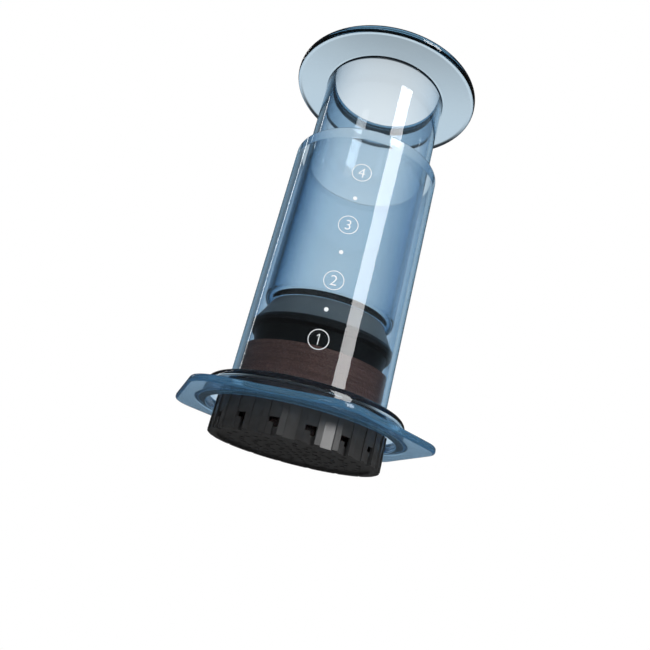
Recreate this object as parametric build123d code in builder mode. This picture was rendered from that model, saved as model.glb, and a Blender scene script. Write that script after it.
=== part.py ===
from build123d import *
import os
from math import degrees, pi

# Piston coffee press: a clear chamber with a six sided flange, a hollow plunger with a
# round flange, a rubber seal on the plunger's end, a perforated cap that twists off the
# chamber, and the paper disc that lies in the cap.
# Frame: origin in the middle of the cap's lowest face, +Z up the axis. Millimetres.

# chamber barrel, and the thinner spigot at its foot that the cap goes over
bore_r = 30.0
wall_thickness = 2.25
chamber_r = bore_r + wall_thickness
rim_height = 131.6
lead_in_width = 1.2
lead_in_depth = 4.0
rim_round = 0.45
spigot_wall = 1.6
spigot_r = bore_r + spigot_wall

# cap: the wall stands round the spigot with room for the lugs
lug_space = 1.7
cap_wall = 1.15
cap_wall_inner_r = spigot_r + lug_space
cap_corner_r = cap_wall_inner_r + cap_wall
cap_height = 14.0
cap_foot_round = 1.3
lip_height = 0.8
lip_width = 2.3
lip_inner_r = cap_wall_inner_r - lip_width
floor_thickness = 2.4
floor_top = lip_height + floor_thickness

# twist lugs: short ramps on the spigot and inside the cap wall, one above each window
window_count = 16
lug_count = window_count
lug_lead = 36.0
lug_step = lug_lead / lug_count
lug_width = 4.6
lug_thickness = 0.96
lug_lift = 5.5
lug_clearance = 0.3
lug_root = 0.7
cap_lug_middle = floor_top + lug_lift
chamber_lug_middle = cap_lug_middle - 0.5 * lug_step
chamber_lug_r = cap_wall_inner_r - lug_clearance
cap_lug_r = spigot_r + lug_clearance
lug_slope = lug_lead / (2.0 * pi * spigot_r)

# paper disc: passes inside the cap's lugs and lies between the floor and the spigot
paper_thickness = 0.2
paper_clearance = 0.15
paper_r = cap_lug_r - paper_clearance
chamber_foot = floor_top + paper_thickness

# cap wall outside: flat panels between flat ribs, and a window in every second panel
# with a channel that runs down from its right half
panel_count = 2 * window_count
panel_start = 5.1
rib_width = 2.3
rib_rise = 0.35
rib_root = 0.8
rib_face_r = cap_corner_r + rib_rise
rib_middle_r = cap_corner_r + 0.5 * (rib_rise - rib_root)
cap_blank_spare = 0.3
cap_blank_r = rib_face_r + cap_blank_spare
window_start = panel_start - 0.5 * 360.0 / panel_count
window_width = 4.0
window_height = 2.0
window_rise = 2.3
window_middle = floor_top + window_rise
window_spare = 0.6
window_depth = 2.0 * (cap_wall + window_spare)
channel_width = 1.9
channel_shift = 0.5 * (window_width - channel_width)
channel_start = window_start + degrees(channel_shift / cap_corner_r)

# drain holes in the cap floor: one in the middle, then the holes of each ring outwards
drain_r = 1.25
drain_edge = 4.5
drain_counts = [8, 16, 24, 24, 24]
drain_pitch = (lip_inner_r - drain_edge) / len(drain_counts)

# six sided flange round the cap's top, and the hollow collar over it
cap_nest = 2.8
plate_foot = cap_height - cap_nest
plate_thickness = 2.6
plate_top = plate_foot + plate_thickness
collar_reach = 8.75
collar_r = chamber_r + collar_reach
collar_wall = 2.2
collar_rise = 7.5
collar_top = plate_top + collar_rise
collar_skin = 2.4
collar_round = 3.4
collar_inner_round = 1.2
collar_foot_round = 1.0
collar_root_round = 2.6
recess_r = collar_r - collar_wall
channel_roof = collar_top - collar_skin
spigot_spare = 1.6
spigot_top = cap_height + spigot_spare
plate_sides = 6
plate_reach = 7.9
plate_half_width = collar_r + plate_reach
plate_corner_round = 15.0
plate_edge_share = 0.38
plate_edge_round = plate_edge_share * plate_thickness
plate_overlap = 1.0
plate_join_r = collar_r + collar_root_round + plate_overlap

# seal: its bead runs on the bore, with a cone above it and a narrower foot below
seal_foot = 36.3
seal_height = 21.0
seal_top = seal_foot + seal_height
seal_fit = 0.05
seal_bead_r = bore_r - seal_fit
seal_bead_height = 9.2
seal_bead_half = 0.9
seal_foot_gap = 3.6
seal_foot_r = bore_r - seal_foot_gap
seal_step_gap = 1.9
seal_step_r = bore_r - seal_step_gap
seal_step_height = 7.6
seal_top_gap = 5.5
seal_top_r = bore_r - seal_top_gap
seal_floor = 6.0
seal_edge_round = 0.5

# plunger: tube with a rounded foot, hollow neck inside the seal, press flange
tube_gap = 2.2
tube_r = bore_r - tube_gap
tube_wall = 2.3
tube_bore_r = tube_r - tube_wall
tube_foot_round = 3.0
end_plate = 2.5
neck_skin = 1.3
neck_r = seal_top_r - neck_skin
neck_wall = 2.2
neck_bore_r = neck_r - neck_wall
neck_snug = 0.05
neck_foot = seal_foot + seal_floor
neck_plate = 2.2
snap_foot = 6.0
snap_height = 3.0
snap_reach = 0.9
press_height = 177.1
press_thickness = 4.1
press_reach = 14.8
press_r = tube_r + press_reach
press_round_share = 0.41
press_round = press_round_share * press_thickness
press_bore_round = 1.2
press_root_round = 3.0

# every cut runs past the surface it opens by this much
overrun = 1.0

os.makedirs("parts", exist_ok=True)


# spigot lug: a ramp that climbs with the angle, trimmed to a round outside
lug_rise = 0.5 * lug_width * lug_slope
lug_outline = [
    (-0.5 * lug_width, -lug_rise - 0.5 * lug_thickness),
    (0.5 * lug_width, lug_rise - 0.5 * lug_thickness),
    (0.5 * lug_width, lug_rise + 0.5 * lug_thickness),
    (-0.5 * lug_width, -lug_rise + 0.5 * lug_thickness),
]
lug_zone = 2.0 * (lug_thickness + lug_width)

spigot_lug_plane = Plane(
    origin=(spigot_r - lug_root, 0, chamber_lug_middle), x_dir=(0, 1, 0), z_dir=(1, 0, 0)
)
with BuildPart() as spigot_lug:
    with BuildSketch(spigot_lug_plane):
        with BuildLine():
            Polyline(*lug_outline, close=True)
        make_face()
    extrude(amount=cap_wall_inner_r - spigot_r + lug_root)
    with BuildSketch(Plane.XY.offset(chamber_lug_middle - 0.5 * lug_zone)):
        Circle(chamber_lug_r)
    extrude(amount=lug_zone, mode=Mode.INTERSECT)

# cap lug: the same ramp, trimmed to a round inside
cap_lug_plane = Plane(origin=(spigot_r, 0, cap_lug_middle), x_dir=(0, 1, 0), z_dir=(1, 0, 0))
with BuildPart() as cap_lug:
    with BuildSketch(cap_lug_plane):
        with BuildLine():
            Polyline(*lug_outline, close=True)
        make_face()
    extrude(amount=cap_wall_inner_r - spigot_r + lug_root)
    with BuildSketch(Plane.XY.offset(cap_lug_middle - 0.5 * lug_zone)):
        Circle(cap_lug_r)
    extrude(amount=lug_zone, mode=Mode.SUBTRACT)

# six sided plate with rounded corners and rounded edges, open in the middle
with BuildPart() as plate:
    with BuildSketch(Plane.XY.offset(plate_foot)) as plate_outline:
        RegularPolygon(plate_half_width, plate_sides, major_radius=False)
        fillet(plate_outline.vertices(), plate_corner_round)
    extrude(amount=plate_thickness)
    plate_rims = plate.edges().group_by(Axis.Z)
    fillet(plate_rims[0] + plate_rims[-1], plate_edge_round)
    with BuildSketch(Plane.XY.offset(plate_foot - overrun)):
        Circle(collar_r + collar_root_round)
    extrude(amount=plate_thickness + 2.0 * overrun, mode=Mode.SUBTRACT)

# chamber: barrel, spigot and hollow collar in one turned section, then plate and lugs
chamber_points = [
    (bore_r, chamber_foot),
    (spigot_r, chamber_foot),
    (spigot_r, spigot_top),
    (chamber_r, spigot_top + chamber_r - spigot_r),
    (chamber_r, channel_roof),
    (recess_r, channel_roof),
    (recess_r, plate_foot),
    (plate_join_r, plate_foot),
    (plate_join_r, plate_top),
    (collar_r, plate_top),
    (collar_r, collar_top),
    (chamber_r, collar_top),
    (chamber_r, rim_height),
    (bore_r + lead_in_width, rim_height),
    (bore_r, rim_height - lead_in_depth),
]
with BuildPart() as chamber:
    with BuildSketch(Plane.XZ) as chamber_section:
        with BuildLine():
            Polyline(*chamber_points, close=True)
        make_face()
        corners = chamber_section.vertices()
        fillet(corners.sort_by_distance((collar_r, collar_top))[0], collar_round)
        corners = chamber_section.vertices()
        fillet(corners.sort_by_distance((collar_r, plate_top))[0], collar_root_round)
        corners = chamber_section.vertices()
        fillet(corners.sort_by_distance((recess_r, channel_roof))[0], collar_inner_round)
        corners = chamber_section.vertices()
        fillet(corners.sort_by_distance((chamber_r, collar_top))[0], collar_foot_round)
        corners = chamber_section.vertices()
        fillet(corners.sort_by_distance((chamber_r, rim_height))[0], rim_round)
    revolve(axis=Axis.Z)
    add(plate.part)
    with PolarLocations(0, lug_count, start_angle=window_start):
        add(spigot_lug.part)

# plunger: open tube with a round press flange, closed by the hollow neck's plate
plunger_points = [
    (0, neck_foot),
    (neck_r, neck_foot),
    (neck_r, neck_foot + snap_foot),
    (neck_r + snap_reach, neck_foot + snap_foot + snap_reach),
    (neck_r + snap_reach, neck_foot + snap_foot + snap_height - snap_reach),
    (neck_r, neck_foot + snap_foot + snap_height),
    (neck_r, seal_top),
    (tube_r, seal_top),
    (tube_r, press_height - press_thickness),
    (press_r, press_height - press_thickness),
    (press_r, press_height),
    (tube_bore_r, press_height),
    (tube_bore_r, seal_top + end_plate),
    (neck_bore_r, seal_top + end_plate),
    (neck_bore_r, neck_foot + neck_plate),
    (0, neck_foot + neck_plate),
]
with BuildPart() as plunger:
    with BuildSketch(Plane.XZ) as plunger_section:
        with BuildLine():
            Polyline(*plunger_points, close=True)
        make_face()
        corners = plunger_section.vertices()
        fillet(corners.sort_by_distance((press_r, press_height))[0], press_round)
        corners = plunger_section.vertices()
        fillet(
            corners.sort_by_distance((press_r, press_height - press_thickness))[0], press_round
        )
        corners = plunger_section.vertices()
        fillet(corners.sort_by_distance((tube_bore_r, press_height))[0], press_bore_round)
        corners = plunger_section.vertices()
        fillet(corners.sort_by_distance((tube_r, seal_top))[0], tube_foot_round)
        corners = plunger_section.vertices()
        fillet(
            corners.sort_by_distance((tube_r, press_height - press_thickness))[0],
            press_root_round,
        )
    revolve(axis=Axis.Z)

# seal: a rubber cup that snaps over the neck, with one bead that runs on the bore
cup_r = neck_r + neck_snug
groove_r = cup_r + snap_reach
groove_foot = neck_foot + snap_foot - neck_snug
groove_top = neck_foot + snap_foot + snap_height + neck_snug
seal_points = [
    (0, seal_foot),
    (seal_foot_r, seal_foot),
    (seal_step_r, seal_foot + seal_step_height),
    (seal_bead_r, seal_foot + seal_bead_height - seal_bead_half),
    (seal_bead_r, seal_foot + seal_bead_height + seal_bead_half),
    (seal_top_r, seal_top),
    (cup_r, seal_top),
    (cup_r, groove_top),
    (groove_r, groove_top - snap_reach),
    (groove_r, groove_foot + snap_reach),
    (cup_r, groove_foot),
    (cup_r, neck_foot),
    (0, neck_foot),
]
with BuildPart() as piston_seal:
    with BuildSketch(Plane.XZ) as seal_section:
        with BuildLine():
            Polyline(*seal_points, close=True)
        make_face()
        corners = seal_section.vertices()
        fillet(corners.sort_by_distance((seal_foot_r, seal_foot))[0], seal_edge_round)
        corners = seal_section.vertices()
        fillet(corners.sort_by_distance((seal_top_r, seal_top))[0], seal_edge_round)
    revolve(axis=Axis.Z)

# rounded blank that trims the foot of the ribbed cap wall
with BuildPart() as cap_blank:
    with BuildSketch(Plane.XZ) as blank_section:
        Rectangle(cap_blank_r, cap_height, align=(Align.MIN, Align.MIN))
        corners = blank_section.vertices()
        fillet(corners.sort_by_distance((cap_blank_r, 0))[0], cap_foot_round)
    revolve(axis=Axis.Z)

# cap: ribbed wall, perforated floor with a rim under it, windows, channels and lugs
with BuildPart() as filter_cap:
    with BuildSketch():
        RegularPolygon(cap_corner_r, panel_count, rotation=panel_start)
        with PolarLocations(rib_middle_r, panel_count, start_angle=panel_start):
            Rectangle(rib_rise + rib_root, rib_width)
    extrude(amount=cap_height)
    add(cap_blank.part, mode=Mode.INTERSECT)
    with BuildSketch(Plane.XY.offset(floor_top)):
        Circle(cap_wall_inner_r)
    extrude(amount=cap_height, mode=Mode.SUBTRACT)
    with BuildSketch(Plane.XY.offset(-overrun)):
        Circle(lip_inner_r)
    extrude(amount=overrun + lip_height, mode=Mode.SUBTRACT)
    with BuildSketch(Plane.XY.offset(lip_height - overrun)):
        Circle(drain_r)
        for ring, drain_count in enumerate(drain_counts, start=1):
            with PolarLocations(ring * drain_pitch, drain_count):
                Circle(drain_r)
    extrude(amount=floor_thickness + 2.0 * overrun, mode=Mode.SUBTRACT)
    with Locations((0, 0, window_middle)):
        with PolarLocations(cap_corner_r, window_count, start_angle=window_start):
            Box(window_depth, window_width, window_height, mode=Mode.SUBTRACT)
    with Locations((0, 0, -overrun)):
        with PolarLocations(cap_corner_r, window_count, start_angle=channel_start):
            Box(
                window_depth,
                channel_width,
                window_middle + overrun,
                align=(Align.CENTER, Align.CENTER, Align.MIN),
                mode=Mode.SUBTRACT,
            )
    with PolarLocations(0, lug_count, start_angle=window_start):
        add(cap_lug.part)

# paper disc on the cap floor
with BuildPart() as filter_paper:
    with BuildSketch(Plane.XY.offset(floor_top)):
        Circle(paper_r)
    extrude(amount=paper_thickness)

chamber.part.label = "chamber"
plunger.part.label = "plunger"
piston_seal.part.label = "piston_seal"
filter_cap.part.label = "filter_cap"
filter_paper.part.label = "filter_paper"

export_step(chamber.part, "parts/chamber.step")
export_step(plunger.part, "parts/plunger.step")
export_step(piston_seal.part, "parts/piston_seal.step")
export_step(filter_cap.part, "parts/filter_cap.step")
export_step(filter_paper.part, "parts/filter_paper.step")
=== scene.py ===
from math import acos, atan2, cos, pi, radians, sin, sqrt, tan

import bpy
import bmesh
from mathutils import Matrix, Vector


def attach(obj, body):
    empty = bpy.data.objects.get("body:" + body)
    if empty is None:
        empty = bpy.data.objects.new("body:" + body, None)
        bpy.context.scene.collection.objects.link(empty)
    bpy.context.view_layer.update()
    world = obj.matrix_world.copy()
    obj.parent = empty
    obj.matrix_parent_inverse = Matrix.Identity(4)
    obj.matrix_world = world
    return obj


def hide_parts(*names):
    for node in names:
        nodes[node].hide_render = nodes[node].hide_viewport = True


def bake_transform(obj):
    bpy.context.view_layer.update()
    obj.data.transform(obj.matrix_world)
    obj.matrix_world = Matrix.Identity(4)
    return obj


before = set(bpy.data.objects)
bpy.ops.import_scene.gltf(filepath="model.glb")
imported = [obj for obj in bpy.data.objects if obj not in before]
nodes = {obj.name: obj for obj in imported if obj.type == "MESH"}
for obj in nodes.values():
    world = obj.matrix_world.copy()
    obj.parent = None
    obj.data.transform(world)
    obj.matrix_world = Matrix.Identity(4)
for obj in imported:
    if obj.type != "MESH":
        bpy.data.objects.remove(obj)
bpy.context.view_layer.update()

# A piston coffee press: clear blue chamber and plunger, black rubber seal and filter cap.
# Everything is in metres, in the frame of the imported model: z = 0 under the cap.
# The settings of the pieces are in millimetres and degrees, those of the stage in metres.

mm = 0.001
tiny = 1e-7


print("frame loaded")


class Wire:  # a node's output that sums can be written with
    tree = None

    def __init__(self, socket):
        self.socket = socket

    @staticmethod
    def make(kind, settings=None, links=None, output=0):
        node = Wire.tree.nodes.new(kind)
        for name, value in (settings or {}).items():
            if name == "stops":
                ramp = node.color_ramp
                while len(ramp.elements) < len(value):
                    ramp.elements.new(0.5)
                for element, (place, colour) in zip(ramp.elements, value):
                    element.position = place
                    element.color = (*colour, 1.0)
            else:
                setattr(node, name, value)
        for name, value in (links or {}).items():
            if isinstance(value, Wire):
                Wire.tree.links.new(value.socket, node.inputs[name])
            else:
                node.inputs[name].default_value = value
        return Wire(node.outputs[output]) if node.outputs else None

    def maths(self, operation, *others):
        values = dict(enumerate((self,) + others))
        return Wire.make("ShaderNodeMath", {"operation": operation}, values)

    def __add__(self, other):
        return self.maths("ADD", other)

    def __mul__(self, other):
        return self.maths("MULTIPLY", other)

    def __sub__(self, other):
        return self.maths("SUBTRACT", other)

    def __rsub__(self, other):
        values = {0: other, 1: self}
        return Wire.make("ShaderNodeMath", {"operation": "SUBTRACT"}, values)

    __radd__ = __add__
    __rmul__ = __mul__


def startNodes(owner):
    owner.use_nodes = True
    owner.node_tree.nodes.clear()
    Wire.tree = owner.node_tree
    return owner


def startMaterial(name):
    return startNodes(bpy.data.materials.new(name))


def finishMaterial(surface, volume=None):
    ends = {"Surface": surface}
    if volume:
        ends["Volume"] = volume
    Wire.make("ShaderNodeOutputMaterial", {}, ends)


def place():
    return Wire.make("ShaderNodeTexCoord", output="Object")


def lightPath(output):
    return Wire.make("ShaderNodeLightPath", output=output)


def split(vector):
    return [
        Wire.make("ShaderNodeSeparateXYZ", {}, {"Vector": vector}, axis) for axis in ("X", "Y", "Z")
    ]


def noise(scale, detail=2.0, rough=0.5, vector=None):
    links = {"Vector": vector or place(), "Scale": scale, "Detail": detail, "Roughness": rough}
    return Wire.make("ShaderNodeTexNoise", {}, links, "Fac")


def between(amount, ends):  # the first end at 0, the second at 1
    low, high = ends
    return amount * (high - low) + low


def fade(value, ends):  # 1 at the first end, 0 at the second and past it
    return Wire.make("ShaderNodeMapRange", {"interpolation_type": "SMOOTHSTEP"}, {
        "Value": value, "From Min": ends[1], "From Max": ends[0],
    })


def shaded(colour, share):
    return tuple(value * share for value in colour)


def mixed(amount, first, second):  # 6 and 7 are the Mix node's colours, 2 is their mix
    first, second = [
        colour if isinstance(colour, Wire) else (*colour, 1.0) for colour in (first, second)
    ]
    links = {0: amount, 6: first, 7: second}
    return Wire.make("ShaderNodeMix", {"data_type": "RGBA"}, links, 2)


def bumped(height, strength, distance):
    links = {"Height": height, "Strength": strength, "Distance": distance}
    return Wire.make("ShaderNodeBump", {}, links, "Normal")


clearSettings = {
    "ior": 1.54,
    "tint": (0.07, 0.47, 0.67),
    "density": 92.0,
    "faceDark": (0.95, 0.97, 1.0),
    "faceLight": (1.0, 1.0, 1.0),
    # painted shade: the base colour seen edge on, a deeper blue
    "glancingShade": (0.03, 0.34, 0.66),
    "glancingShadePower": 1.6,
    "roughness": (0.012, 0.05),
    "flowScale": 45.0,
    "flowStrength": 0.02,
    "flowDepth": 2.0,
    "scuffScale": 700.0,
    # painted light on the plate's foot: a milky blue layer that makes it read lighter
    "footPaintedLight": (0.26, 0.61, 0.94),
    "footPaintedLightShade": 0.94,
    "footPaintedLightRoughness": (0.2, 0.3),
    "footPaintedLightShare": 0.16,
    "footPaintedLightEnds": (13.7, 14.5),
    "footPaintedLightInside": (36.0, 35.0),
}


def clearPlastic(name, settings, paintedLightFoot=False):
    material = startMaterial(name)
    flow = noise(settings["flowScale"], 1.0)  # slow waves left by moulding
    scuffs = noise(settings["scuffScale"], 3.0, 0.6)
    # painted shade: towards the edges, seen edge on, the base colour turns a deeper blue
    facing = Wire.make("ShaderNodeLayerWeight", {}, {"Blend": 0.5}, "Facing")
    glanceShade = facing.maths("POWER", settings["glancingShadePower"])
    face = mixed(flow, settings["faceDark"], settings["faceLight"])
    surface = Wire.make("ShaderNodeBsdfPrincipled", {}, {
        "Base Color": mixed(glanceShade, face, settings["glancingShade"]),
        "Roughness": between(scuffs, settings["roughness"]),
        "IOR": settings["ior"],
        "Transmission Weight": 1.0,
        "Normal": bumped(flow, settings["flowStrength"], settings["flowDepth"] * mm),
    })
    if paintedLightFoot:  # painted light: a milky blue layer makes the plate's foot read lighter
        footPaintedLightDark = shaded(settings["footPaintedLight"], settings["footPaintedLightShade"])
        footPaintedLightLayer = Wire.make("ShaderNodeBsdfPrincipled", {}, {
            "Base Color": mixed(flow, footPaintedLightDark, settings["footPaintedLight"]),
            "Roughness": between(scuffs, settings["footPaintedLightRoughness"]),
            "IOR": settings["ior"],
        })
        # the painted light covers only the plate, below 13.7 to 14.5 mm and outside 35 to 36 mm
        across, along, height = split(place())
        radius = (across * across + along * along).maths("SQRT")
        share = fade(height, [end * mm for end in settings["footPaintedLightEnds"]])
        share = share * fade(radius, [end * mm for end in settings["footPaintedLightInside"]])
        share = share * settings["footPaintedLightShare"]
        surface = Wire.make("ShaderNodeMixShader", {}, {0: share, 1: surface, 2: footPaintedLightLayer})
    volume = Wire.make("ShaderNodeVolumeAbsorption", {}, {
        "Color": (*settings["tint"], 1.0),
        "Density": settings["density"],
    })
    finishMaterial(surface, volume)
    return material


rubberSettings = {
    "dark": (0.002, 0.0025, 0.003),
    "light": (0.007, 0.008, 0.010),
    # painted light: the seal's upper cone, lit from above, is a lighter grey than the black rubber
    "conePaintedLightDark": (0.125, 0.137, 0.143),
    "conePaintedLightBright": (0.190, 0.204, 0.211),
    "conePaintedLightEnds": (48.1, 47.6),
    "roughness": (0.34, 0.52),
    "ior": 1.4,
    "cloudScale": 160.0,
    "grainScale": 2600.0,
    "grainStrength": 0.15,
    "grainDepth": 0.1,
}


def sealRubber(settings):
    material = startMaterial("sealRubber")
    cloud = noise(settings["cloudScale"], 3.0)
    grain = noise(settings["grainScale"])
    height = split(place())[2]
    # painted light: above 47.6 to 48.1 mm, on the cone, the rubber turns a lighter grey
    onConePaintedLight = fade(height, [end * mm for end in settings["conePaintedLightEnds"]])
    black = mixed(cloud, settings["dark"], settings["light"])
    conePaintedLightColour = mixed(cloud, settings["conePaintedLightDark"], settings["conePaintedLightBright"])
    surface = Wire.make("ShaderNodeBsdfPrincipled", {}, {
        "Base Color": mixed(onConePaintedLight, black, conePaintedLightColour),
        "IOR": settings["ior"],
        "Roughness": between(cloud, settings["roughness"]),
        "Normal": bumped(grain, settings["grainStrength"], settings["grainDepth"] * mm),
    })
    finishMaterial(surface)
    return material


capSettings = {
    "dark": (0.024, 0.0235, 0.0235),
    "light": (0.050, 0.049, 0.049),
    "roughness": (0.18, 0.30),
    "cloudScale": 220.0,
    "grainScale": 3200.0,
    "grainStrength": 0.12,
    "grainDepth": 0.1,
}


def capPlastic(settings):
    material = startMaterial("capPlastic")
    cloud = noise(settings["cloudScale"], 4.0, 0.6)
    grain = noise(settings["grainScale"])
    surface = Wire.make("ShaderNodeBsdfPrincipled", {}, {
        "Base Color": mixed(cloud, settings["dark"], settings["light"]),
        "Roughness": between(cloud, settings["roughness"]),
        "Normal": bumped(grain, settings["grainStrength"], settings["grainDepth"] * mm),
    })
    finishMaterial(surface)
    return material


paperSettings = {
    "dark": (0.70, 0.62, 0.50),
    "light": (0.90, 0.86, 0.78),
    "roughness": (0.8, 0.95),
    "fibreScale": 900.0,
    "fibreStrength": 0.4,
    "fibreDepth": 0.1,
}


def filterPaper(settings):
    material = startMaterial("filterPaper")
    fibres = noise(settings["fibreScale"], 6.0, 0.7)
    surface = Wire.make("ShaderNodeBsdfPrincipled", {}, {
        "Base Color": mixed(fibres, settings["dark"], settings["light"]),
        "Roughness": between(fibres, settings["roughness"]),
        "Normal": bumped(fibres, settings["fibreStrength"], settings["fibreDepth"] * mm),
    })
    finishMaterial(surface)
    return material


coffeeSettings = {
    "grainScale": 1500.0,
    "grainShare": 0.45,
    "grainStrength": 0.6,
    "grainDepth": 0.4,
    "patchScale": 140.0,
    "patchShare": 0.4,
    "streakScale": (60.0, 60.0, 900.0),  # flat streaks, from the grounds' settling
    "streakShare": 0.8,
    "darker": 0.22,
    # darker towards the bottom, below 12 to 16 mm
    "lowDarkeningEnds": (12.0, 16.0),
    "lowDarkeningShare": 0.8,
    "roughness": (0.45, 0.75),
    "stops": [
        (0.0, (0.038, 0.011, 0.008)),
        (0.45, (0.117, 0.043, 0.031)),
        (0.8, (0.193, 0.086, 0.063)),
        (1.0, (0.275, 0.143, 0.108)),
    ],
}


def coffeeGrounds(settings):
    material = startMaterial("coffeeGrounds")
    links = {"Vector": place(), "Scale": settings["grainScale"]}
    grains = Wire.make("ShaderNodeTexVoronoi", {}, links, "Distance")
    patches = noise(settings["patchScale"], 4.0, 0.6)
    flattened = Wire.make("ShaderNodeVectorMath", {"operation": "MULTIPLY"}, {
        0: place(), 1: settings["streakScale"],
    })
    streaks = noise(1.0, 4.0, vector=flattened)
    shade = grains * settings["grainShare"] + patches * settings["patchShare"]
    shade = shade + streaks * settings["streakShare"] - settings["darker"]
    height = split(place())[2]
    # darker towards the bottom
    lowDarkening = fade(height, [end * mm for end in settings["lowDarkeningEnds"]])
    shade = shade * (1.0 - lowDarkening * settings["lowDarkeningShare"])
    surface = Wire.make("ShaderNodeBsdfPrincipled", {}, {
        "Base Color": Wire.make("ShaderNodeValToRGB", {"stops": settings["stops"]}, {"Fac": shade}),
        "Roughness": between(patches, settings["roughness"]),
        "Normal": bumped(grains, settings["grainStrength"], settings["grainDepth"] * mm),
    })
    finishMaterial(surface)
    return material


printSettings = {
    "dark": (0.80, 0.83, 0.86),
    "light": (0.95, 0.96, 0.97),
    "roughness": (0.4, 0.6),
    "wearScale": 1800.0,
}


def printWhite(settings):
    material = startMaterial("printWhite")
    wear = noise(settings["wearScale"], 3.0)
    surface = Wire.make("ShaderNodeBsdfPrincipled", {}, {
        "Base Color": mixed(wear, settings["dark"], settings["light"]),
        "Roughness": between(wear, settings["roughness"]),
    })
    finishMaterial(surface)
    return material


# the chamber's plate gets the painted light
chamberPlastic = clearPlastic("chamberPlastic", clearSettings, paintedLightFoot=True)
plungerPlastic = clearPlastic("plungerPlastic", clearSettings)
rubber = sealRubber(rubberSettings)
blackPlastic = capPlastic(capSettings)
paper = filterPaper(paperSettings)
grounds = coffeeGrounds(coffeeSettings)
whitePrint = printWhite(printSettings)
print("materials made")


def rounded(points, steps=6, hold=0.25):
    # points are (radius, height) or (radius, height, corner round), and a held point
    # each side of a round keeps the long faces flat in the shading
    line = []
    count = len(points)
    for index, point in enumerate(points):
        here = Vector(point[:2])
        if len(point) < 3:
            line.append(tuple(here))
            continue
        back = Vector(points[index - 1][:2]) - here
        ahead = Vector(points[(index + 1) % count][:2]) - here
        before = back.normalized()
        after = ahead.normalized()
        half = acos(max(-1.0, min(1.0, before.dot(after)))) / 2
        reach = point[2] / tan(half)
        middle = here + (before + after).normalized() * point[2] / sin(half)
        first = here + before * reach - middle
        last = here + after * reach - middle
        turn = atan2(first.x * last.y - first.y * last.x, first.dot(last))
        roomy = 3 * (reach + hold)
        if back.length > roomy:
            line.append(tuple(here + before * (reach + hold)))
        for step in range(steps + 1):
            spoke = Matrix.Rotation(turn * step / steps, 2) @ first
            line.append(tuple(middle + spoke))
        if ahead.length > roomy:
            line.append(tuple(here + after * (reach + hold)))
    return line


def turnedMesh(line, steps):
    mesh = bmesh.new()
    corners = [mesh.verts.new((radius * mm, 0.0, height * mm)) for radius, height in line]
    edges = []
    for index, corner in enumerate(corners):
        following = corners[(index + 1) % len(corners)]
        onAxis = corner.co.x < tiny and following.co.x < tiny
        if not onAxis:
            edges.append(mesh.edges.new((corner, following)))
    bmesh.ops.spin(
        mesh, geom=corners + edges, cent=(0, 0, 0), axis=(0, 0, 1),
        angle=2 * pi, steps=steps, use_merge=True, use_duplicate=False,
    )
    bmesh.ops.remove_doubles(mesh, verts=mesh.verts, dist=tiny)
    bmesh.ops.recalc_face_normals(mesh, faces=mesh.faces)
    return mesh


def newPiece(mesh, name, material):
    data = bpy.data.meshes.new(name)
    mesh.to_mesh(data)
    mesh.free()
    data.shade_smooth()
    data.set_sharp_from_angle(angle=radians(32.0))
    data.materials.append(material)
    piece = bpy.data.objects.new(name, data)
    bpy.context.scene.collection.objects.link(piece)
    return piece


chamberSettings = {
    "steps": 240,
    "foot": 3.4,
    "boreRadius": 30.0,
    "wall": 2.25,
    "rim": 131.6,
    "rimRound": 0.45,
    "rimInnerRound": 0.3,
    "leadWidth": 1.2,
    "leadDepth": 4.0,
    "leadRound": 0.8,
    "spigotRadius": 31.6,
    "spigotTop": 15.6,
    "spigotRound": 0.3,
    "plateFoot": 11.2,
    "plateThickness": 2.6,
    "halfWidth": 48.88,
    "cornerRound": 15.0,
    "edgeRound": 0.95,
    "collarRadius": 41.0,
    "collarWall": 2.2,
    "collarTop": 21.3,
    "collarSkin": 2.4,
    "collarRound": 3.4,
    "collarRootRound": 2.6,
    "collarTopRound": 1.0,
    "collarFootRound": 0.35,
    "channelRound": 1.2,
    "channelRootRound": 0.6,
    "edgeMark": 62.0,  # where the plate's edge is turned, before it is pushed in
    "edgeBand": 5.0,
}


def hexRadius(angle, halfWidth, cornerRound):
    sector = pi / 3
    fromCorner = abs((angle + sector / 2) % sector - sector / 2)
    fromFlat = sector / 2 - fromCorner
    centre = (halfWidth - cornerRound) / cos(sector / 2)
    if halfWidth * tan(fromFlat) <= (halfWidth - cornerRound) * tan(sector / 2):
        return halfWidth / cos(fromFlat)
    return centre * cos(fromCorner) + sqrt(cornerRound ** 2 - (centre * sin(fromCorner)) ** 2)


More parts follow.
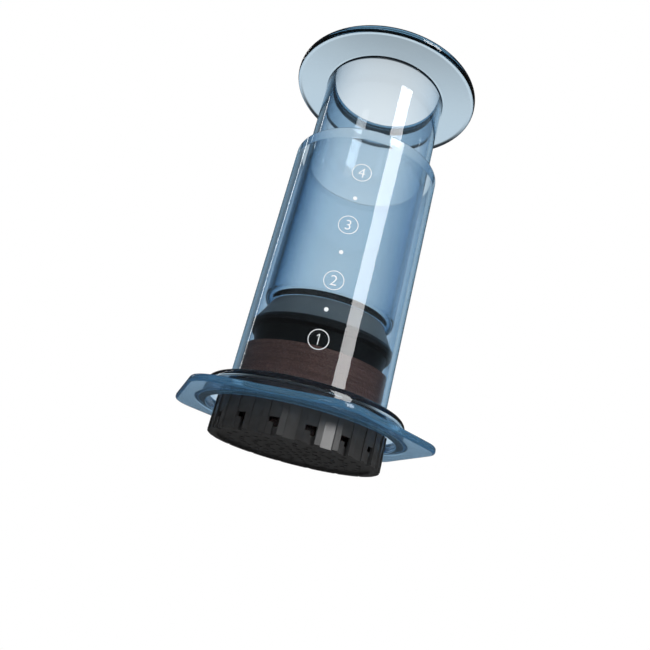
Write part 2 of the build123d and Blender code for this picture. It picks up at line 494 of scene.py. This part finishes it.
def makeChamber(settings):
    edge = settings["edgeMark"]
    bore = settings["boreRadius"]
    outside = bore + settings["wall"]
    spigot = settings["spigotRadius"]
    collar = settings["collarRadius"]
    recess = collar - settings["collarWall"]
    roof = settings["collarTop"] - settings["collarSkin"]
    plateTop = settings["plateFoot"] + settings["plateThickness"]
    line = rounded([
        (bore, settings["foot"]),
        (spigot, settings["foot"], settings["spigotRound"]),
        (spigot, settings["spigotTop"]),
        (outside, settings["spigotTop"] + outside - spigot),
        (outside, roof, settings["channelRootRound"]),
        (recess, roof, settings["channelRound"]),
        (recess, settings["plateFoot"], settings["collarFootRound"]),
        (edge, settings["plateFoot"], settings["edgeRound"]),
        (edge, plateTop, settings["edgeRound"]),
        (collar, plateTop, settings["collarRootRound"]),
        (collar, settings["collarTop"], settings["collarRound"]),
        (outside, settings["collarTop"], settings["collarTopRound"]),
        (outside, settings["rim"], settings["rimRound"]),
        (bore + settings["leadWidth"], settings["rim"], settings["rimInnerRound"]),
        (bore, settings["rim"] - settings["leadDepth"], settings["leadRound"]),
    ])
    mesh = turnedMesh(line, settings["steps"])
    for corner in mesh.verts:  # the plate's turned edge is pushed in to the six sided outline
        inset = edge - sqrt(corner.co.x ** 2 + corner.co.y ** 2) / mm
        if inset < settings["edgeBand"]:
            angle = atan2(corner.co.y, corner.co.x)
            radius = mm * hexRadius(
                angle, settings["halfWidth"] - inset, settings["cornerRound"] - inset
            )
            corner.co.x = cos(angle) * radius
            corner.co.y = sin(angle) * radius
    chamberBody = newPiece(mesh, "chamberBody", chamberPlastic)
    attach(chamberBody, "chamber")
    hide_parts("chamber")


makeChamber(chamberSettings)
print("chamber made")


plungerSettings = {
    "steps": 224,
    "neckFoot": 42.3,
    "neckRadius": 23.2,
    "neckBore": 21.0,
    "neckPlate": 2.2,
    "neckRound": 0.4,
    "snapFoot": 6.0,  # over the neck's foot: the ring that the seal snaps on
    "snapTop": 9.0,
    "snapReach": 0.9,
    "tubeFoot": 57.3,
    "tubeRadius": 27.8,
    "tubeBore": 25.5,
    "tubePlate": 2.5,
    "footRound": 3.0,
    "insideRound": 0.8,
    "neckInsideRound": 0.6,
    "pressTop": 177.1,
    "pressThickness": 4.1,
    "pressRadius": 42.6,
    "pressRound": 1.7,
    "pressRootRound": 0.9,
    "pressBoreRound": 0.7,
}


def makePlunger(settings):
    neckFoot = settings["neckFoot"]
    neck = settings["neckRadius"]
    neckFloor = neckFoot + settings["neckPlate"]
    snapFoot = neckFoot + settings["snapFoot"]
    snapTop = neckFoot + settings["snapTop"]
    reach = settings["snapReach"]
    foot = settings["tubeFoot"]
    floor = foot + settings["tubePlate"]
    tube = settings["tubeRadius"]
    top = settings["pressTop"]
    under = top - settings["pressThickness"]
    line = rounded([
        (0.0, neckFoot),
        (neck, neckFoot, settings["neckRound"]),
        (neck, snapFoot),
        (neck + reach, snapFoot + reach),
        (neck + reach, snapTop - reach),
        (neck, snapTop),
        (neck, foot),
        (tube, foot, settings["footRound"]),
        (tube, under, settings["pressRootRound"]),
        (settings["pressRadius"], under, settings["pressRound"]),
        (settings["pressRadius"], top, settings["pressRound"]),
        (settings["tubeBore"], top, settings["pressBoreRound"]),
        (settings["tubeBore"], floor, settings["insideRound"]),
        (settings["neckBore"], floor, settings["neckInsideRound"]),
        (settings["neckBore"], neckFloor, settings["neckInsideRound"]),
        (0.0, neckFloor),
    ])
    plungerBody = newPiece(turnedMesh(line, settings["steps"]), "plungerBody", plungerPlastic)
    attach(plungerBody, "plunger")
    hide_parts("plunger")


makePlunger(plungerSettings)
print("plunger made")


sealSettings = {
    "steps": 192,
    "foot": 36.3,
    "footRadius": 26.4,
    "footRound": 0.6,
    "step": 7.6,
    "stepRadius": 28.1,
    "stepRound": 0.25,
    "bead": 9.2,
    "beadHalf": 0.9,
    "beadRadius": 29.95,
    "beadRound": 0.4,
    "top": 57.3,
    "topRadius": 24.5,
    "topRound": 0.5,
    "floor": 6.0,
    "cupRadius": 23.25,
    "grooveFoot": 11.95,
    "grooveTop": 15.05,
    "grooveReach": 0.9,
}


def makeSeal(settings):
    foot = settings["foot"]
    top = settings["top"]
    bead = foot + settings["bead"]
    half = settings["beadHalf"]
    cup = settings["cupRadius"]
    reach = settings["grooveReach"]
    grooveFoot = foot + settings["grooveFoot"]
    grooveTop = foot + settings["grooveTop"]
    line = rounded([
        (0.0, foot),
        (settings["footRadius"], foot, settings["footRound"]),
        (settings["stepRadius"], foot + settings["step"], settings["stepRound"]),
        (settings["beadRadius"], bead - half, settings["beadRound"]),
        (settings["beadRadius"], bead + half, settings["beadRound"]),
        (settings["topRadius"], top, settings["topRound"]),
        (cup, top),
        (cup, grooveTop),
        (cup + reach, grooveTop - reach),
        (cup + reach, grooveFoot + reach),
        (cup, grooveFoot),
        (cup, foot + settings["floor"]),
        (0.0, foot + settings["floor"]),
    ])
    sealCup = newPiece(turnedMesh(line, settings["steps"]), "sealCup", rubber)
    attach(sealCup, "plunger")
    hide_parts("piston_seal")


makeSeal(sealSettings)
print("seal made")


def paint(node, material):
    node.data.materials.clear()
    node.data.materials.append(material)


paint(nodes["filter_cap"], blackPlastic)
paint(nodes["filter_paper"], paper)
print("cap and paper painted")


bedSettings = {  # a cup, so that the seal can press down into it
    "steps": 160,
    "foot": 3.43,
    "base": 0.12,
    "top": 36.27,
    "radius": 29.7,
    "insideRadius": 27.0,
    "edgeRound": 0.06,
    "edgeHold": 0.02,
    "followHeight": 42.07,
}


def makeGrounds(settings):
    foot = settings["foot"]
    top = settings["top"]
    inside = settings["insideRadius"]
    edge = settings["edgeRound"]
    line = rounded([
        (0.0, foot),
        (settings["radius"], foot, edge),
        (settings["radius"], top, edge),
        (inside, top, edge),
        (inside, foot + settings["base"]),
        (0.0, foot + settings["base"]),
    ], steps=3, hold=settings["edgeHold"])
    coffeeBed = newPiece(turnedMesh(line, settings["steps"]), "coffeeBed", grounds)
    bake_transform(coffeeBed)


makeGrounds(bedSettings)
print("coffee made")


scaleSettings = {
    "angle": -77.0,
    "surface": 32.25,
    "stand": 0.03,
    "thickness": 0.05,
    "marks": 7,
    "firstHeight": 38.2,
    "pitch": 24.2,
    "dotWidth": 1.7,
    "dotSteps": 28,
    "ringWidth": 8.0,
    "ringLine": 0.29,
    "ringSteps": 72,
    "numberHeight": 4.2,
    "numberStart": 5.88,  # text size, before it is brought to the height
    "numberThin": -0.055,
    "stroke": 0.32,
    "flagShare": 0.3,
    "flagTurn": -48.0,
    "flagPlace": (-0.1, 0.39),
}


def dotShape(settings):
    mesh = bmesh.new()
    radius = settings["dotWidth"] / 2
    bmesh.ops.create_circle(mesh, cap_ends=True, segments=settings["dotSteps"], radius=radius)
    return mesh


def ringShape(settings):
    mesh = bmesh.new()
    outside = settings["ringWidth"] / 2
    for radius in (outside, outside - settings["ringLine"]):
        bmesh.ops.create_circle(mesh, segments=settings["ringSteps"], radius=radius)
    bmesh.ops.bridge_loops(mesh, edges=mesh.edges)
    return mesh


def oneShape(settings):  # an upright and a slanted flag, without feet
    mesh = bmesh.new()
    tall = settings["numberHeight"]
    stroke = settings["stroke"]
    bmesh.ops.create_grid(mesh, x_segments=1, y_segments=1, size=0.5)
    bmesh.ops.scale(mesh, vec=(stroke, tall, 1), verts=mesh.verts)
    upright = set(mesh.verts)
    bmesh.ops.create_grid(mesh, x_segments=1, y_segments=1, size=0.5)
    flag = [corner for corner in mesh.verts if corner not in upright]
    bmesh.ops.scale(mesh, vec=(stroke, tall * settings["flagShare"], 1), verts=flag)
    turn = Matrix.Rotation(radians(settings["flagTurn"]), 3, "Z")
    bmesh.ops.rotate(mesh, matrix=turn, cent=(0, 0, 0), verts=flag)
    across, along = settings["flagPlace"]
    bmesh.ops.translate(mesh, vec=(tall * across, tall * along, 0), verts=flag)
    return mesh


def numberShape(text, settings):
    words = bpy.data.curves.new("scaleNumber", "FONT")
    words.body = text
    words.align_x = "CENTER"
    words.align_y = "CENTER"
    words.size = settings["numberStart"]
    words.offset = settings["numberThin"]
    holder = bpy.data.objects.new("scaleNumber", words)
    bpy.context.scene.collection.objects.link(holder)
    bpy.context.view_layer.update()
    flat = bpy.data.meshes.new_from_object(holder)
    mesh = bmesh.new()
    mesh.from_mesh(flat)
    bpy.data.objects.remove(holder)
    bpy.data.curves.remove(words)
    bpy.data.meshes.remove(flat)
    across = [corner.co.x for corner in mesh.verts]
    along = [corner.co.y for corner in mesh.verts]
    low, high = min(along), max(along)
    shift = Vector((-(min(across) + max(across)) / 2, -(low + high) / 2, 0))
    bmesh.ops.translate(mesh, vec=shift, verts=mesh.verts)
    size = settings["numberHeight"] / (high - low)
    bmesh.ops.scale(mesh, vec=(size, size, 1), verts=mesh.verts)
    return mesh


def printMark(mesh, name, height, settings):  # bends a flat shape round the chamber
    flat = bmesh.ops.extrude_face_region(mesh, geom=mesh.faces)
    raised = [item for item in flat["geom"] if isinstance(item, bmesh.types.BMVert)]
    bmesh.ops.translate(mesh, vec=(0, 0, settings["thickness"]), verts=raised)
    bmesh.ops.recalc_face_normals(mesh, faces=mesh.faces)
    for corner in mesh.verts:
        angle = radians(settings["angle"]) + corner.co.x / settings["surface"]
        radius = (settings["surface"] + settings["stand"] + corner.co.z) * mm
        upwards = (height + corner.co.y) * mm
        corner.co = (cos(angle) * radius, sin(angle) * radius, upwards)
    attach(newPiece(mesh, name, whitePrint), "chamber")


def makeScale(settings):  # a ringed number, a dot, and so on up the chamber
    for mark in range(settings["marks"]):
        height = settings["firstHeight"] + mark * settings["pitch"] / 2
        number = mark // 2 + 1
        if mark % 2:
            printMark(dotShape(settings), f"scaleDot{number}", height, settings)
            continue
        printMark(ringShape(settings), f"scaleRing{number}", height, settings)
        figure = oneShape(settings) if number == 1 else numberShape(str(number), settings)
        printMark(figure, f"scaleNumber{number}", height, settings)


makeScale(scaleSettings)
print("scale printed")


floorSettings = {
    "halfSize": 3.0,
    "height": -0.0148,  # leaves room for the cap to come down
    "colour": (0.86, 0.87, 0.88),
    "shade": 0.985,
    "roughness": 0.7,
    "cloudScale": 3.0,
    "white": (0.45, 1.0),
    "whiteEnds": (0.35, 1.3),
}


def makeFloor(settings):
    material = startMaterial("floorPale")
    dark = shaded(settings["colour"], settings["shade"])
    matt = Wire.make("ShaderNodeBsdfPrincipled", {}, {
        "Base Color": mixed(noise(settings["cloudScale"]), dark, settings["colour"]),
        "Roughness": settings["roughness"],
    })
    # seen by the camera, straight or through glass, it turns white towards the horizon
    east, north, _ = split(place())
    away = (east * east + north * north).maths("SQRT")
    white = between(1.0 - fade(away, settings["whiteEnds"]), settings["white"])
    seen = lightPath("Is Camera Ray").maths("MAXIMUM", lightPath("Is Transmission Ray"))
    lighting = lightPath("Diffuse Depth").maths("GREATER_THAN", 0.5)
    share = white * seen * (1.0 - lighting)
    bright = Wire.make("ShaderNodeEmission", {}, {"Color": (1, 1, 1, 1), "Strength": 1.0})
    pale = Wire.make("ShaderNodeMixShader", {}, {0: share, 1: matt, 2: bright})
    # from below and in reflections it isn't there
    under = Wire.make("ShaderNodeNewGeometry", output="Backfacing")
    mirrored = lightPath("Glossy Depth").maths("GREATER_THAN", 0.5)
    hidden = under.maths("MAXIMUM", mirrored)
    clear = Wire.make("ShaderNodeBsdfTransparent")
    finishMaterial(Wire.make("ShaderNodeMixShader", {}, {0: hidden, 1: pale, 2: clear}))
    mesh = bmesh.new()
    bmesh.ops.create_grid(mesh, x_segments=1, y_segments=1, size=settings["halfSize"])
    floor = newPiece(mesh, "floor", material)
    floor.location.z = settings["height"]


makeFloor(floorSettings)


skySettings = {  # each pair of angles is where a fade of the white starts and ends
    "lights": 0.50,
    "lightsInside": 1.35,
    "darkThrough": 0.06,
    "mirrored": 0.05,
    "backdropLeft": (113.0, 166.0),
    "backdropRight": (72.0, 38.0),
    "backdropLow": (5.0, -5.0),
    "backdropHigh": (36.0, 51.0),
    "horizon": (3.0, 10.0),
    "surround": 0.65,
    "surroundLow": (23.0, 19.0),
    "surroundLeft": (60.0, 100.0),
    "surroundBack": (-130.0, -165.0),
}


def makeSky(settings):
    bpy.context.scene.world = startNodes(bpy.data.worlds.new("studio"))
    seen = lightPath("Is Camera Ray")
    through = lightPath("Is Transmission Ray")
    reflected = lightPath("Is Glossy Ray") * (1.0 - through)
    lighting = lightPath("Diffuse Depth").maths("GREATER_THAN", 0.5)
    straight = lightPath("Glossy Depth").maths("LESS_THAN", 0.5)
    east, north, high = split(Wire.make("ShaderNodeTexCoord", output="Generated"))
    azimuth = north.maths("ARCTAN2", east).maths("DEGREES")
    elevation = high.maths("ARCSINE").maths("DEGREES")
    backdrop = fade(azimuth, settings["backdropLeft"]) * fade(azimuth, settings["backdropRight"])
    backdrop = backdrop * fade(elevation, settings["backdropLow"])
    surround = fade(azimuth, settings["surroundLeft"]) * fade(azimuth, settings["surroundBack"])
    surround = surround * fade(elevation, settings["surroundLow"]) * settings["surround"]
    white = backdrop.maths("MAXIMUM", surround) * fade(elevation, settings["backdropHigh"])
    white = white.maths("MAXIMUM", straight * fade(elevation, settings["horizon"]))
    shown = between(white, (settings["darkThrough"], 1.0))
    background = seen + through * shown + reflected * settings["mirrored"]
    # the lamps can't be sampled through the clear walls, so the sky gives their light there
    lights = between(through, (settings["lights"], settings["lightsInside"]))
    strength = background * (1.0 - lighting) + lighting * lights
    sky = Wire.make("ShaderNodeBackground", {}, {"Color": (1, 1, 1, 1), "Strength": strength})
    Wire.make("ShaderNodeOutputWorld", {}, {"Surface": sky})


makeSky(skySettings)


lampSettings = {
    "distance": 1.1,
    "aim": (0.0, 0.0, 0.08),
    "lamps": [  # name, azimuth, lowest and highest elevation, width, radiance
        ("strip", -37.0, 0.0, 44.0, 0.34, 8.5),
        ("leftLine", 163.0, 8.0, 40.0, 0.03, 5.0),
        ("frontLow", -92.0, -1.0, 9.0, 0.32, 1.4),
        ("smallBox", -101.0, 32.0, 39.0, 0.17, 1.0),
    ],
}


def onSky(azimuth, elevation, settings):
    spoke = Vector((settings["distance"], 0, 0))
    spoke.rotate(Matrix.Rotation(radians(-elevation), 3, "Y"))
    spoke.rotate(Matrix.Rotation(radians(azimuth), 3, "Z"))
    return spoke + Vector(settings["aim"])


def makeLamp(name, azimuth, lowest, highest, width, radiance, settings):
    low = onSky(azimuth, lowest, settings)
    high = onSky(azimuth, highest, settings)
    middle = (low + high) / 2
    data = bpy.data.lights.new(name, "AREA")
    data.shape = "RECTANGLE"
    data.size = width
    data.size_y = (high - low).length
    data.energy = radiance * pi * data.size * data.size_y
    lamp = bpy.data.objects.new(name, data)
    bpy.context.scene.collection.objects.link(lamp)
    up = (high - low).normalized()
    back = (middle - Vector(settings["aim"])).normalized()
    side = up.cross(back).normalized()
    turn = Matrix((side, up, back)).transposed().to_4x4()
    lamp.matrix_world = Matrix.Translation(middle) @ turn
    lamp.visible_transmission = False  # no second images on the far walls


for lamp in lampSettings["lamps"]:
    makeLamp(*lamp, lampSettings)


cameraSettings = {
    "place": (0.07015, -0.25553, -0.03583),
    "azimuth": 105.431,
    "elevation": 18.979,
    "roll": 14.498,
    "lens": 36.908,
    "sensorWidth": 36.0,
    "clipStart": 0.01,
}


def makeCamera(settings):
    data = bpy.data.cameras.new("camera")
    data.sensor_width = settings["sensorWidth"]
    data.lens = settings["lens"]
    data.clip_start = settings["clipStart"]
    camera = bpy.data.objects.new("camera", data)
    bpy.context.scene.collection.objects.link(camera)
    heading = Matrix.Rotation(radians(settings["azimuth"] - 90), 4, "Z")
    pitch = Matrix.Rotation(radians(settings["elevation"] + 90), 4, "X")
    roll = Matrix.Rotation(radians(settings["roll"]), 4, "Z")
    camera.matrix_world = Matrix.Translation(settings["place"]) @ heading @ pitch @ roll
    bpy.context.scene.camera = camera


makeCamera(cameraSettings)
bpy.context.scene.view_settings.view_transform = "Standard"
print("stage set")
